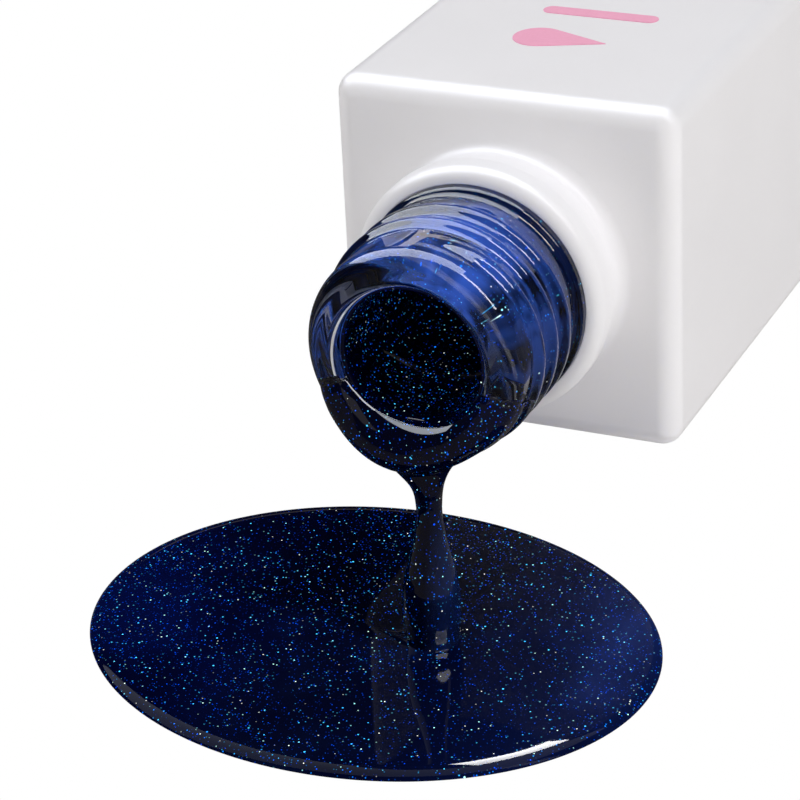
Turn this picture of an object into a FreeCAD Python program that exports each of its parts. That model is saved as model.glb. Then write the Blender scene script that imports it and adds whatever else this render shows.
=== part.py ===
"""Square nail polish bottle with its brush closure drawn off and its contents pouring out.

The bottle lies level: its axis is the Y axis, the base is at y = 0 and the mouth
faces -Y. Z is up. The closure is modelled upright on the bottle, screwed home, then
drawn off along the axis to where it is at rest.
"""
import FreeCAD, Part
import math
import os

Vector = FreeCAD.Vector

# ---- square body, millimetres -------------------------------------------------
body_width = 23.0            # across the lacquered flats
body_length = 38.0           # base to shoulder
body_edge_radius = 1.4
lacquer_thickness = 0.25
glass_wall = 2.0
glass_shoulder = 2.4
glass_base = 3.8
cavity_corner_radius = 3.0
throat_radius = 2.0          # blend of the bore into the cavity

# ---- collar round the foot of the neck ----------------------------------------
collar_behind_bead = 0.75    # front of the transfer bead to the front of the collar
collar_width = 0.98          # how far it stands out past the transfer bead
collar_depth = 1.95          # front to back edge; the waist takes the rest, down to the shoulder
collar_round = 0.9
waist_depth = 0.65           # how far the waist behind it is drawn in
waist_foot = 0.9
waist_round_share = 0.4      # the most of a short waist that its foot and its back slope each take

# ---- neck and its screw finish ------------------------------------------------
neck_length = 15.0           # shoulder to lip
bore_radius = 4.7
lip_wall = 2.3
lip_step = 0.1               # lip ring over the thread core
thread_depth = 0.5
bead_step = 0.02             # transfer bead over the thread crests
bead_from_lip = 9.3          # lip to the front of the transfer bead
bead_round = 0.35
thread_pitch = 2.12          # 12 turns to the inch
thread_turns = 2.5
thread_start_deg = -90.0     # the rib starts at the lowest side of the neck
thread_root_width = 1.35
thread_crest_width = 0.45
thread_lead_in = 0.7         # front of the bead to the first rib
lip_height = 1.9
lip_round = 1.1
mouth_round = 0.6

# ---- inner cap and liner ------------------------------------------------------
cap_thread_crest_clearance = 0.12   # cap rib over the lip
cap_thread_turns = 1.5
cap_rib_root_width = 0.9
cap_rib_crest_width = 0.35
cap_bore_clearance = 0.23    # cap bore over the bead
cap_wall = 1.55
cap_ceiling = 1.6
cap_skirt_gap = 0.4          # collar to the end of the inner skirt
cap_flute_count = 24
cap_flute_width = 1.2
cap_flute_depth = 0.35
liner_thickness = 1.0
liner_gap = 0.05
liner_rim_clearance = 0.3
liner_stem_clearance = 0.1

# ---- overcap ------------------------------------------------------------------
overcap_inset = 0.3          # flats of the body to the flats of the overcap
overcap_wall = 1.4
overcap_end_wall = 2.0
overcap_length = 34.0
overcap_edge_radius = 1.4
overcap_gap = 0.8            # shoulder to the end of the overcap
socket_clearance = 0.02
socket_wall = 0.95
socket_depth = 14.0          # how far the socket reaches down over the inner cap
stop_rib_thickness = 1.2
stop_rib_count = 4
stop_rib_inner_radius = 4.2

# ---- brush --------------------------------------------------------------------
brush_tip_gap = 3.95         # floor of the cavity to the tip of the bristles
bristle_length = 15.0
bristle_socket_radius = 1.1
bristle_socket_depth = 3.0
bristle_tip_half_width = 2.1
bristle_tip_half_thickness = 0.8
bristle_tip_round = 1.4
stem_radius = 1.5
stem_collar_radius = 2.0
stem_collar_length = 1.4     # below the liner
stem_head_radius = 3.2
stem_head_height = 1.4
staple_height = 1.2
staple_thickness = 0.3
staple_inset = 0.8           # above the mouth of the bristle socket

# ---- how far the closure is drawn off -----------------------------------------
draw_clearance = 61.0        # lip to the tip of the bristles

# ---- mixing balls -------------------------------------------------------------
ball_radius = 2.0
ball_places = ((-3.0, -14.0), (4.2, -22.0))

# ---- the polish, poured -------------------------------------------------------
fill_level = -2.0            # height of the free surface against the axis
stream_x = 0.55
stream_from_lip = 0.55       # behind the plane of the lip
stream_neck_drop = 3.1       # lowest point of the lip to the top of the stream
stream_top_radius = 0.79
stream_waist_drop = 2.1
stream_waist_radius = 1.04
stream_bulb_drop = 6.6
stream_bulb_radius = 1.83
stream_foot_radius = 1.6
pool_drop = 7.6              # lowest flat of the body to the surface of the pool
pool_thickness = 0.8
pool_centre_x = -3.6
pool_centre_from_lip = -0.4
pool_half_length = 19.05
pool_half_width = 15.9
pool_turn_deg = -11.8
pool_edge_round = 0.35
spill_side_gap = 0.1         # wall of the bore to the side of the spill
spill_half_depth = 1.7
spill_half_height = 2.4
spill_rise = 1.4             # lowest point of the lip to the middle of the spill
spill_film = 0.3
funnel_half_width = 3.4
funnel_half_depth = 1.5

# ---- printed mark -------------------------------------------------------------
ink_thickness = 0.05
mark_from_shoulder = 10.5
mark_x = -1.5
mark_drop_radius = 1.7
mark_drop_tip = 4.6
mark_bar_length = 8.0
mark_bar_width = 1.3
mark_bar_gap = 4.6
mark_bar_round = 0.63

# ---- sizes that follow --------------------------------------------------------
glass_width = body_width - 2 * lacquer_thickness
glass_edge_radius = body_edge_radius - lacquer_thickness
glass_bottom = lacquer_thickness
glass_top = body_length - lacquer_thickness
cavity_width = glass_width - 2 * glass_wall
cavity_bottom = glass_bottom + glass_base
cavity_top = glass_top - glass_shoulder
lip_z = body_length + neck_length
lip_radius = bore_radius + lip_wall
core_radius = lip_radius - lip_step
thread_crest_radius = core_radius + thread_depth
bead_radius = thread_crest_radius + bead_step
bead_z = lip_z - bead_from_lip
collar_front_z = bead_z - collar_behind_bead
collar_back_z = collar_front_z - collar_depth
waist_round_limit = (collar_back_z - body_length) * waist_round_share
collar_radius = bead_radius + collar_width
waist_radius = collar_radius - min(waist_depth, waist_round_limit)
waist_foot_round = min(waist_foot, waist_round_limit)
thread_z = bead_z + thread_lead_in
cap_rib_crest_radius = lip_radius + cap_thread_crest_clearance
cap_bore_radius = bead_radius + cap_bore_clearance
cap_outer_radius = cap_bore_radius + cap_wall
cap_skirt_z = collar_front_z + cap_skirt_gap
liner_z = lip_z + liner_gap
cap_ceiling_z = liner_z + liner_thickness + liner_gap
cap_top_z = cap_ceiling_z + cap_ceiling
stem_head_z = cap_top_z + stem_head_height
socket_radius = cap_outer_radius + socket_clearance
overcap_width = body_width - 2 * overcap_inset
overcap_z = body_length + overcap_gap
overcap_top_z = overcap_z + overcap_length
overcap_ceiling_z = overcap_top_z - overcap_end_wall
brush_tip_z = cavity_bottom + brush_tip_gap
bristle_root_z = brush_tip_z + bristle_length
draw_travel = lip_z - brush_tip_z + draw_clearance
lip_y = -lip_z
stream_top = -(lip_radius + stream_neck_drop)
pool_top = -(body_width / 2 + pool_drop)
spill_half_width = bore_radius - spill_side_gap
spill_middle = spill_rise - lip_radius


def turned(steps):
    """Solid of revolution about Z. Each step is (radius, z) or (mid radius, mid z, radius, z)."""
    first = Vector(steps[0][0], 0, steps[0][1])
    here = first
    edges = []
    for step in steps[1:]:
        there = Vector(step[-2], 0, step[-1])
        if len(step) == 4:
            edges.append(Part.Arc(here, Vector(step[0], 0, step[1]), there).toShape())
        else:
            edges.append(Part.makeLine(here, there))
        here = there
    edges.append(Part.makeLine(here, first))
    face = Part.Face(Part.Wire(edges))
    return face.revolve(Vector(0, 0, 0), Vector(0, 0, 1), 360)


def rounding(centre_radius, centre_z, radius, start_deg, radius_end, z_end):
    """Arc step of a turned outline: 45 degrees past its start is its middle point."""
    middle = math.radians(start_deg)
    return (centre_radius + radius * math.cos(middle), centre_z + radius * math.sin(middle),
            radius_end, z_end)


def square_block(width, bottom, top, edge_radius):
    block = Part.makeBox(width, width, top - bottom, Vector(-width / 2, -width / 2, bottom))
    return block.makeFillet(edge_radius, block.Edges)


def tube(outer, inner, bottom, top):
    ring = Part.makeCylinder(outer, top - bottom, Vector(0, 0, bottom))
    return ring.cut(Part.makeCylinder(inner, top - bottom, Vector(0, 0, bottom)))


def laid_down(shape):
    """Turn an upright shape so that its mouth end faces -Y."""
    lying = shape.copy()
    lying.rotate(Vector(0, 0, 0), Vector(1, 0, 0), 90)
    return lying


def drawn_off(shape):
    """Lay an upright closure piece down and draw it off the neck to its rest place."""
    piece = laid_down(shape)
    piece.translate(Vector(0, -draw_travel, 0))
    return piece


def helical_rib(root_radius, crest_radius, root_width, crest_width, start_z, turns, phase_deg):
    """Right-hand rib that stands on root_radius and reaches crest_radius, outward or inward."""
    helix = Part.makeHelix(thread_pitch, turns * thread_pitch, root_radius)
    corners = [Vector(root_radius, 0, -root_width / 2), Vector(crest_radius, 0, -crest_width / 2),
               Vector(crest_radius, 0, crest_width / 2), Vector(root_radius, 0, root_width / 2)]
    profile = Part.makePolygon(corners + corners[:1])
    rib = Part.Wire(helix).makePipeShell([profile], True, True)
    rib.rotate(Vector(0, 0, 0), Vector(0, 0, 1), phase_deg)
    rib.translate(Vector(0, 0, start_z))
    return rib


def collar(radius, waist, front_round, foot_round, face_z, back_z, front_z):
    """Ring with a rounded front edge, a 45 degree back and a drawn-in waist blended into the face."""
    return turned([
        (0, face_z - glass_shoulder / 2),
        (waist + foot_round, face_z - glass_shoulder / 2),
        (waist + foot_round, face_z),
        rounding(waist + foot_round, face_z + foot_round, foot_round, 225, waist, face_z + foot_round),
        (waist, back_z - (radius - waist)),
        (radius, back_z),
        (radius, front_z - front_round),
        rounding(radius - front_round, front_z - front_round, front_round, 45,
                 radius - front_round, front_z),
        (0, front_z)])


def neck_blank():
    """Neck without its bore: transfer bead, thread core and rounded lip ring."""
    ring_z = lip_z - lip_height
    step = lip_radius - core_radius
    return turned([
        (0, glass_top - glass_shoulder / 2),
        (bead_radius, glass_top - glass_shoulder / 2),
        (bead_radius, bead_z - bead_round),
        rounding(bead_radius - bead_round, bead_z - bead_round, bead_round, 45,
                 bead_radius - bead_round, bead_z),
        (core_radius, bead_z),
        (core_radius, ring_z - step),
        (lip_radius, ring_z),
        (lip_radius, lip_z - lip_round),
        rounding(lip_radius - lip_round, lip_z - lip_round, lip_round, 45,
                 lip_radius - lip_round, lip_z),
        (0, lip_z)])


def neck_thread():
    """Rib rooted a little inside the core, so that it grows out of it all along."""
    sink = (thread_crest_radius - core_radius) / 2
    flank = (thread_root_width - thread_crest_width) / (thread_crest_radius - core_radius)
    return helical_rib(core_radius - sink, thread_crest_radius,
                       thread_root_width + flank * sink, thread_crest_width,
                       thread_z + thread_root_width / 2, thread_turns, thread_start_deg)


def hollow():
    """Everything inside the glass: square cavity, blended throat, bore and rounded mouth."""
    cavity = square_block(cavity_width, cavity_bottom, cavity_top, cavity_corner_radius)
    passage = turned([
        (0, cavity_top - cavity_corner_radius),
        (bore_radius + throat_radius, cavity_top - cavity_corner_radius),
        (bore_radius + throat_radius, cavity_top),
        rounding(bore_radius + throat_radius, cavity_top + throat_radius, throat_radius, 225,
                 bore_radius, cavity_top + throat_radius),
        (bore_radius, lip_z - mouth_round),
        rounding(bore_radius + mouth_round, lip_z - mouth_round, mouth_round, 135,
                 bore_radius + mouth_round, lip_z),
        (0, lip_z)])
    return cavity.fuse(passage).removeSplitter()


def bottle_outside():
    block = square_block(glass_width, glass_bottom, glass_top, glass_edge_radius)
    under = lacquer_thickness
    foot = collar(collar_radius - under, waist_radius - under, collar_round - under, waist_foot_round + under,
                  glass_top, collar_back_z + under * (math.sqrt(2) - 1), collar_front_z - under)
    return block.fuse([foot, neck_blank()]).removeSplitter()


def glass_bottle(outside, inside):
    return laid_down(outside.fuse(neck_thread()).cut(inside))


def lacquer_coat(outside):
    block = square_block(body_width, 0, body_length, body_edge_radius)
    coat = block.fuse(collar(collar_radius, waist_radius, collar_round, waist_foot_round, body_length,
                             collar_back_z, collar_front_z)).removeSplitter()
    return laid_down(coat.cut(outside))


def printed_mark():
    """A plain drop and a rounded bar, printed on the flat that faces up."""
    face_z = body_width / 2
    drop_y = mark_from_shoulder - body_length
    tip = Vector(mark_x + mark_drop_tip, drop_y, face_z)
    slope = math.acos(mark_drop_radius / mark_drop_tip)
    side = Vector(mark_drop_radius * math.cos(slope), mark_drop_radius * math.sin(slope), 0)
    middle = Vector(mark_x, drop_y, face_z)
    left = middle + side
    right = middle + Vector(side.x, -side.y, 0)
    back = Vector(mark_x - mark_drop_radius, drop_y, face_z)
    drop = Part.Wire([Part.makeLine(tip, left), Part.Arc(left, back, right).toShape(),
                      Part.makeLine(right, tip)])
    bar = Part.makeBox(mark_bar_length, mark_bar_width, ink_thickness,
                       Vector(mark_x - mark_drop_radius, drop_y + mark_bar_gap, face_z))
    upright = [edge for edge in bar.Edges if abs(edge.tangentAt(edge.FirstParameter).z) > 0.9]
    bar = bar.makeFillet(mark_bar_round, upright)
    return Part.makeCompound([Part.Face(drop).extrude(Vector(0, 0, ink_thickness)), bar])


def mixing_balls():
    ball_z = ball_radius - cavity_width / 2
    return Part.makeCompound([Part.makeSphere(ball_radius, Vector(x, y, ball_z)) for x, y in ball_places])


def below(height):
    """Block that fills the space under a level plane, wider than the whole bottle."""
    span = 2 * lip_z
    return Part.makeBox(span, 2 * span, span, Vector(-span / 2, -span, height - span))


def polish_fill(inside, balls):
    return laid_down(inside).common(below(fill_level)).cut(balls)


def spill_lens():
    """Rounded tongue of polish that bulges over the lower lip."""
    ball = Part.makeSphere(1.0)
    stretch = FreeCAD.Matrix()
    stretch.scale(Vector(spill_half_width, spill_half_depth, spill_half_height))
    lens = ball.transformGeometry(stretch)
    lens.translate(Vector(stream_x / 2, lip_y + stream_from_lip, spill_middle))
    return lens


def spill_funnel():
    """Polish that gathers under the lip and narrows into the stream."""
    centre = Vector(stream_x, lip_y + stream_from_lip, spill_middle)
    wide = Part.Ellipse(centre, funnel_half_width, funnel_half_depth).toShape()
    waist = Part.Circle(Vector(centre.x, centre.y, (spill_middle + 2 * stream_top) / 3),
                        Vector(0, 0, 1), (funnel_half_depth + stream_top_radius) / 2).toShape()
    narrow = Part.Circle(Vector(centre.x, centre.y, stream_top), Vector(0, 0, 1),
                         stream_top_radius).toShape()
    return Part.makeLoft([Part.Wire(wide), Part.Wire(waist), Part.Wire(narrow)], True)


def polish_overflow(glass, fill):
    film = laid_down(tube(lip_radius + spill_film, core_radius, lip_z - lip_height, lip_z))
    film = film.common(below(spill_middle + spill_half_height))
    spill = spill_lens().fuse([film, spill_funnel()])
    spill = spill.common(below(fill_level)).cut(glass).cut(fill)
    return max(spill.Solids, key=lambda solid: solid.Volume)


def polish_stream():
    """Thread of polish that falls to the pool and swells where it lands."""
    heights = [stream_top, stream_top - stream_waist_drop, stream_top - stream_bulb_drop, pool_top]
    radii = [stream_top_radius, stream_waist_radius, stream_bulb_radius, stream_foot_radius]
    curve = Part.BSplineCurve()
    curve.interpolate([Vector(radius, 0, height) for radius, height in zip(radii, heights)])
    top = Vector(0, 0, stream_top)
    foot = Vector(0, 0, pool_top)
    outline = Part.Wire([Part.makeLine(top, Vector(stream_top_radius, 0, stream_top)), curve.toShape(),
                         Part.makeLine(Vector(stream_foot_radius, 0, pool_top), foot),
                         Part.makeLine(foot, top)])
    stream = Part.Face(outline).revolve(Vector(0, 0, 0), Vector(0, 0, 1), 360)
    stream.translate(Vector(stream_x, lip_y + stream_from_lip, 0))
    return stream


def polish_pool():
    rim = Part.Ellipse(Vector(0, 0, 0), pool_half_length, pool_half_width).toShape()
    slab = Part.Face(Part.Wire(rim)).extrude(Vector(0, 0, pool_thickness))
    upper_rim = [edge for edge in slab.Edges if edge.Closed and edge.CenterOfMass.z > pool_thickness / 2]
    slab = slab.makeFillet(pool_edge_round, upper_rim)
    slab.rotate(Vector(0, 0, 0), Vector(0, 0, 1), pool_turn_deg)
    slab.translate(Vector(pool_centre_x, lip_y + pool_centre_from_lip, pool_top - pool_thickness))
    return slab


def sealing_liner():
    return drawn_off(tube(cap_bore_radius - liner_rim_clearance,
                          stem_collar_radius + liner_stem_clearance, liner_z, liner_z + liner_thickness))


def inner_cap():
    """Threaded cap: fluted outside, a rib inside that runs between the turns on the neck."""
    shell = tube(cap_outer_radius, cap_bore_radius, cap_skirt_z, cap_ceiling_z)
    roof = tube(cap_outer_radius, stem_collar_radius, cap_ceiling_z, cap_top_z)
    flute = Part.makeBox(2 * cap_flute_depth, cap_flute_width, cap_top_z - cap_skirt_z,
                         Vector(cap_outer_radius - cap_flute_depth, -cap_flute_width / 2, cap_skirt_z))
    flutes = []
    for index in range(cap_flute_count):
        cut = flute.copy()
        cut.rotate(Vector(0, 0, 0), Vector(0, 0, 1), 360 * index / cap_flute_count)
        flutes.append(cut)
    rise = cap_bore_radius - cap_rib_crest_radius
    flank = (cap_rib_root_width - cap_rib_crest_width) / rise
    sink = rise / 2
    rib = helical_rib(cap_bore_radius + sink, cap_rib_crest_radius,
                      cap_rib_root_width + flank * sink, cap_rib_crest_width,
                      thread_z + thread_root_width / 2 + thread_pitch / 2, cap_thread_turns,
                      thread_start_deg)
    return drawn_off(shell.fuse(roof).cut(flutes).fuse(rib))


def overcap():
    """Square outer shell with a round socket and stop ribs that hold the inner cap."""
    rounded_end_z = overcap_z - overcap_edge_radius
    outer = square_block(overcap_width, rounded_end_z, overcap_top_z, overcap_edge_radius)
    outer = outer.cut(Part.makeBox(overcap_width, overcap_width, overcap_edge_radius,
                                   Vector(-overcap_width / 2, -overcap_width / 2, rounded_end_z)))
    room = overcap_width - 2 * overcap_wall
    outer = outer.cut(Part.makeBox(room, room, overcap_ceiling_z - overcap_z,
                                   Vector(-room / 2, -room / 2, overcap_z)))
    outer = outer.cut(Part.makeCylinder(socket_radius, overcap_ceiling_z - overcap_z,
                                        Vector(0, 0, overcap_z)))
    socket = tube(socket_radius + socket_wall, socket_radius,
                  cap_top_z - socket_depth, overcap_ceiling_z)
    pieces = [socket]
    for index in range(stop_rib_count):
        rib = Part.makeBox(socket_radius + socket_wall / 2 - stop_rib_inner_radius, stop_rib_thickness,
                           overcap_ceiling_z - cap_top_z,
                           Vector(stop_rib_inner_radius, -stop_rib_thickness / 2, cap_top_z))
        rib.rotate(Vector(0, 0, 0), Vector(0, 0, 1), 45 + 360 * index / stop_rib_count)
        pieces.append(rib)
    return drawn_off(outer.fuse(pieces).removeSplitter())


def bristles_upright():
    """Tuft: round in its socket, flat and wide at the tip."""
    socket = Part.makeCylinder(bristle_socket_radius, bristle_socket_depth, Vector(0, 0, bristle_root_z))
    root = Part.Circle(Vector(0, 0, bristle_root_z), Vector(0, 0, 1), bristle_socket_radius).toShape()
    shoulder = Part.Ellipse(Vector(0, 0, brush_tip_z + bristle_tip_round), bristle_tip_half_width,
                            bristle_tip_half_thickness).toShape()
    tip = Part.Ellipse(Vector(0, 0, brush_tip_z), bristle_tip_half_width / 2,
                       bristle_tip_half_thickness / 2).toShape()
    spread = Part.makeLoft([Part.Wire(root), Part.Wire(shoulder)], True)
    end = Part.makeLoft([Part.Wire(shoulder), Part.Wire(tip)], True)
    return socket.fuse([spread, end]).removeSplitter()


def staple_upright():
    bottom = bristle_root_z + staple_inset
    return Part.makeBox(2 * bristle_socket_radius, staple_thickness, staple_height,
                        Vector(-bristle_socket_radius, -staple_thickness / 2, bottom))


def brush_stem():
    """Stem with a head above the roof of the inner cap and a socket for the bristles."""
    collar_z = liner_z - stem_collar_length
    stem = turned([
        (0, bristle_root_z),
        (stem_radius, bristle_root_z),
        (stem_radius, collar_z - (stem_collar_radius - stem_radius)),
        (stem_collar_radius, collar_z),
        (stem_collar_radius, cap_top_z),
        (stem_head_radius, cap_top_z),
        (stem_head_radius, stem_head_z),
        (0, stem_head_z)])
    socket = Part.makeCylinder(bristle_socket_radius, bristle_socket_depth, Vector(0, 0, bristle_root_z))
    return drawn_off(stem.cut(socket))


def write(name, shape):
    shape.exportStep(os.path.join("parts", name + ".step"))
    solids = shape.Solids
    print("%-16s solids %d valid %s volume %.2f" % (name, len(solids), shape.isValid(),
                                                   sum(solid.Volume for solid in solids)))


os.makedirs("parts", exist_ok=True)

outside = bottle_outside()
inside = hollow()
balls = mixing_balls()
glass = glass_bottle(outside, inside)
fill = polish_fill(inside, balls)
staple = staple_upright()

write("glass_bottle", glass)
write("lacquer_coat", lacquer_coat(outside))
write("printed_mark", printed_mark())
write("mixing_balls", balls)
write("polish_fill", fill)
write("polish_overflow", polish_overflow(glass, fill))
write("polish_stream", polish_stream())
write("polish_pool", polish_pool())
write("sealing_liner", sealing_liner())
write("inner_cap", inner_cap())
write("overcap", overcap())
write("brush_stem", brush_stem())
write("bristle_tuft", drawn_off(bristles_upright().cut(staple)))
write("tuft_staple", drawn_off(staple))
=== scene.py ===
"""Square bottle of glitter nail polish, lying level and pouring over its lip, with its brush closure drawn off."""
import math

import bmesh
import bpy
import numpy as np
from mathutils import Matrix, Quaternion, Vector


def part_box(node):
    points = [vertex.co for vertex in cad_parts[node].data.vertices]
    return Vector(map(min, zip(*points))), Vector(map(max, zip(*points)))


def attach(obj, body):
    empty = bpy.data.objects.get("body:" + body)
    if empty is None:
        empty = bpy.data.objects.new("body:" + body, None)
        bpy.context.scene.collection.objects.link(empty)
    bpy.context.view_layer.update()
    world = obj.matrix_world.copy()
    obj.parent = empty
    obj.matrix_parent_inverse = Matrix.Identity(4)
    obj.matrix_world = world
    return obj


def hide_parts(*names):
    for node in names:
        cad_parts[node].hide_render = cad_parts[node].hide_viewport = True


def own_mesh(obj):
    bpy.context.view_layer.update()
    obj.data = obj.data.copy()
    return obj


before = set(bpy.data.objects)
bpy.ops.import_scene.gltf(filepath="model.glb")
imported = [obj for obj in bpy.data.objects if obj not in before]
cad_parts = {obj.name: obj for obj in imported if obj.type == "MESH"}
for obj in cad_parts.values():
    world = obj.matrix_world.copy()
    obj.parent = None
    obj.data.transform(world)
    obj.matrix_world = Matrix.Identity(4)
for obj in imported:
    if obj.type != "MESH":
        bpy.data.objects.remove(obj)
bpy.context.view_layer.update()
scene = bpy.context.scene
MM = 0.001


# ---- View ---------------------------------------------------------------------
# A long lens looks down on the mouth from its right, far enough off that the square
# body keeps nearly parallel edges.
def place_camera():
    azimuth, elevation, roll = math.radians(25.16), math.radians(26.15), math.radians(-2.79)
    forward = Vector((-math.sin(azimuth) * math.cos(elevation), math.cos(azimuth) * math.cos(elevation),
                      -math.sin(elevation)))
    lens = bpy.data.cameras.new("camera")
    lens.sensor_width = 36.0
    lens.lens = 138.6
    lens.clip_start, lens.clip_end = 0.01, 20.0
    camera = bpy.data.objects.new("camera", lens)
    camera.location = Vector((69.66, -202.77, 78.63)) * MM
    camera.rotation_mode = "QUATERNION"
    camera.rotation_quaternion = forward.to_track_quat("-Z", "Y") @ Quaternion((0, 0, 1), roll)
    scene.collection.objects.link(camera)
    scene.camera = camera


place_camera()
scene.view_settings.view_transform = "Standard"


# ---- Glass bottle -------------------------------------------------------------
# Pressed and blown clear glass: square body, round neck with a helical screw rib, a
# transfer bead behind it and a thick fire-polished lip in front.
class Socket:
    """A node's output that takes part in Python sums: each operator adds its Math node."""

    def __init__(self, nodes, output):
        self.nodes, self.output = nodes, output

    def __add__(self, other):
        return self.nodes.math("ADD", self, other)

    def __sub__(self, other):
        return self.nodes.math("SUBTRACT", self, other)

    def __mul__(self, other):
        return self.nodes.math("MULTIPLY", self, other)

    def __truediv__(self, other):
        return self.nodes.math("DIVIDE", self, other)

    def __pow__(self, other):
        return self.nodes.math("POWER", self, other)

    def __rsub__(self, other):
        return self.nodes.math("SUBTRACT", other, self)

    def __rtruediv__(self, other):
        return self.nodes.math("DIVIDE", other, self)

    def __gt__(self, other):
        return self.nodes.math("GREATER_THAN", self, other)

    def __lt__(self, other):
        return self.nodes.math("LESS_THAN", self, other)

    def __neg__(self):
        return self.nodes.math("MULTIPLY", self, -1.0)

    __radd__, __rmul__ = __add__, __mul__


class Nodes:
    """A node tree in the making."""

    def __init__(self, tree):
        self.tree = tree
        tree.nodes.clear()

    def add(self, kind, settings=None, inputs=None, output=0):
        """New node: its settings first, then the value or link of each named input. Returns one output."""
        node = self.tree.nodes.new(kind)
        for name, value in (settings or {}).items():
            if name == "stops":
                set_stops(node.color_ramp, value)
            else:
                setattr(node, name, value)
        for name, value in (inputs or {}).items():
            if isinstance(value, Socket):
                self.tree.links.new(value.output, node.inputs[name])
            else:
                node.inputs[name].default_value = value
        return Socket(self, node.outputs[output]) if len(node.outputs) else node

    def math(self, operation, *values, clamp=False):
        return self.add("ShaderNodeMath", {"operation": operation, "use_clamp": clamp},
                        dict(enumerate(values)))

    def step(self, value, low, high):
        """0 below low, 1 above high, smooth between them."""
        return self.add("ShaderNodeMapRange", {"interpolation_type": "SMOOTHSTEP"},
                        {"Value": value, "From Min": low, "From Max": high})

    def mix(self, share, one, other):
        """Colour that goes from one to other as share goes from 0 to 1."""
        return self.add("ShaderNodeMix", {"data_type": "RGBA"}, {0: share, 6: one, 7: other}, output=2)


def set_stops(ramp, stops):
    while len(ramp.elements) < len(stops):
        ramp.elements.new(0.5)
    for element, (place, colour) in zip(ramp.elements, stops):
        element.position = place
        element.color = (*colour, 1.0)


def new_object(name, mesh):
    piece = bpy.data.objects.new(name, mesh)
    scene.collection.objects.link(piece)
    return piece


def finish_tree_piece(name, tree, inputs):
    """Plain mesh object from a node tree: evaluates it once with these inputs and drops the modifier."""
    piece = new_object(name, bpy.data.meshes.new(name))
    modifier = piece.modifiers.new("shape", "NODES")
    modifier.node_group = tree
    for item in tree.interface.items_tree:
        if item.in_out == "INPUT" and item.name in inputs:
            modifier[item.identifier] = inputs[item.name]
    graph = bpy.context.evaluated_depsgraph_get()
    graph.update()
    piece.data = bpy.data.meshes.new_from_object(piece.evaluated_get(graph))
    piece.modifiers.clear()
    piece.data.name = name
    return piece


def arc(centre, radius, start, end, count):
    """Points of an arc in the (radius, y) plane, angles in degrees."""
    angles = np.radians(np.linspace(start, end, count))
    return [(centre[0] + radius * math.cos(a), centre[1] + radius * math.sin(a)) for a in angles]


def ring_of(half, corner, flat_count=26, corner_count=9):
    """Rounded square in the XZ plane, anticlockwise seen from the mouth, one list of points."""
    points = []
    reach = half - corner
    for side in range(4):
        turn = side * math.pi / 2
        flat = np.linspace(-reach, reach, flat_count, endpoint=False)
        local = [(half, f) for f in flat]
        angles = np.linspace(0, math.pi / 2, corner_count, endpoint=False)
        local += [(reach + corner * math.cos(a), reach + corner * math.sin(a)) for a in angles]
        points += [(x * math.cos(turn) - z * math.sin(turn), x * math.sin(turn) + z * math.cos(turn))
                   for x, z in local]
    return np.array(points)


def loft(name, rings, material, ends=(True, True)):
    """Closed mesh through rings of equal length. An end ring is drawn together in its middle."""
    count = len(rings[0])
    vertices = [tuple(point) for ring in rings for point in ring]
    faces = []
    for row in range(len(rings) - 1):
        for i in range(count):
            j = (i + 1) % count
            a, b = row * count, (row + 1) * count
            faces.append((a + i, a + j, b + j, b + i))
    for end, row in ((ends[0], 0), (ends[1], len(rings) - 1)):
        if end:
            centre = len(vertices)
            vertices.append(tuple(np.mean(rings[row], axis=0)))
            faces += [(row * count + i, row * count + (i + 1) % count, centre) for i in range(count)]
    mesh = bpy.data.meshes.new(name)
    mesh.from_pydata(vertices, [], faces)
    return closed(new_object(name, mesh), material)


def closed(piece, material, merge=2e-6):
    """Welds a piece's seams, turns its faces outwards, shades it smooth and gives it its material."""
    work = bmesh.new()
    work.from_mesh(piece.data)
    bmesh.ops.remove_doubles(work, verts=work.verts, dist=merge)
    bmesh.ops.dissolve_degenerate(work, edges=work.edges, dist=merge / 4)
    bmesh.ops.recalc_face_normals(work, faces=work.faces)
    for face in work.faces:
        face.smooth = True
    work.to_mesh(piece.data)
    work.free()
    piece.data.materials.clear()
    piece.data.materials.append(material)
    return piece


def material_of(name):
    material = bpy.data.materials.new(name)
    material.use_nodes = True
    return material, Nodes(material.node_tree)


def surface(nodes, inputs):
    """Principled surface of a material, and its output."""
    shader = nodes.add("ShaderNodeBsdfPrincipled", None, inputs)
    nodes.add("ShaderNodeOutputMaterial", None, {"Surface": shader})


def object_place(nodes):
    return nodes.add("ShaderNodeTexCoord", output="Object")


def noise(nodes, place, scale, detail=3.0, roughness=0.5, output=0):
    return nodes.add("ShaderNodeTexNoise", None,
                     {"Vector": place, "Scale": scale, "Detail": detail, "Roughness": roughness}, output)


def bump(nodes, height, strength, distance):
    return nodes.add("ShaderNodeBump", None, {"Height": height, "Strength": strength, "Distance": distance})


base_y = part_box("lacquer_coat")[1][1]
collar_front_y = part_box("lacquer_coat")[0][1]
lip_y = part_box("glass_bottle")[0][1]
body_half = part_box("lacquer_coat")[1][0]
coat = 0.25 * MM
shoulder_y = collar_front_y + 4.95 * MM
edge_radius = 1.4 * MM
bore_radius = 4.7 * MM
bead_radius = 7.42 * MM
lip_radius = 7.0 * MM
core_radius = 7.0 * MM


def clear_glass():
    material, nodes = material_of("clear_glass")
    place = object_place(nodes)
    seed = noise(nodes, place, 900.0, 2.0)
    surface(nodes, {"Base Color": (0.96, 0.98, 0.99, 1.0), "Roughness": nodes.step(seed, 0.2, 1.2) * 0.01,
                    "IOR": 1.5, "Transmission Weight": 1.0,
                    "Normal": bump(nodes, noise(nodes, place, 260.0, 1.0), 0.05, 0.05 * MM)})
    return material


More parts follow.
